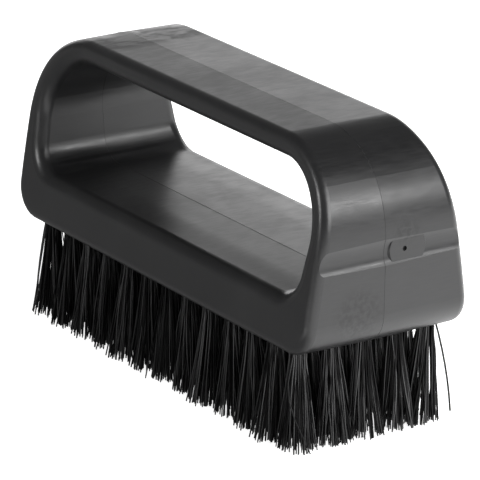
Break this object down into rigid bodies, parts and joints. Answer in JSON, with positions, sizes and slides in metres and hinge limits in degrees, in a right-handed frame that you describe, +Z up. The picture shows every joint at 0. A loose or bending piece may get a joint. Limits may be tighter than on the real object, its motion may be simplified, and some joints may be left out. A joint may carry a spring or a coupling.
{
  "type": "wheel brush",
  "caption": "Hand scrubbing brush with a fixed bow handle over a straight base block, set with rows of stiff filament tufts for scrubbing wheels.",
  "frame": {"origin": "on the plane of the bristle tips, below the middle of the brush", "axes": "+X along the brush towards the end with the gate mark, +Y across it, +Z up from the tips to the handle"},
  "size_m": [0.15, 0.0542, 0.0855],
  "materials": {
    "body_plastic": "satin black polypropylene moulding",
    "filament": "stiff black polypropylene filament, slight gloss along each strand",
    "anchor_wire": "bright galvanised flat wire"
  },
  "bodies": {
    "root": {"brush_body": "body_plastic", "tuft_column_01": "filament", "tuft_column_02": "filament", "tuft_column_03": "filament", "tuft_column_04": "filament", "tuft_column_05": "filament", "tuft_column_06": "filament", "tuft_column_07": "filament", "tuft_column_08": "filament", "tuft_column_09": "filament", "tuft_column_10": "filament", "tuft_column_11": "filament", "tuft_column_12": "filament", "tuft_column_13": "filament", "anchor_column_01": "anchor_wire", "anchor_column_02": "anchor_wire", "anchor_column_03": "anchor_wire", "anchor_column_04": "anchor_wire", "anchor_column_05": "anchor_wire", "anchor_column_06": "anchor_wire", "anchor_column_07": "anchor_wire", "anchor_column_08": "anchor_wire", "anchor_column_09": "anchor_wire", "anchor_column_10": "anchor_wire", "anchor_column_11": "anchor_wire", "anchor_column_12": "anchor_wire", "anchor_column_13": "anchor_wire"}
  },
  "joints": []
}
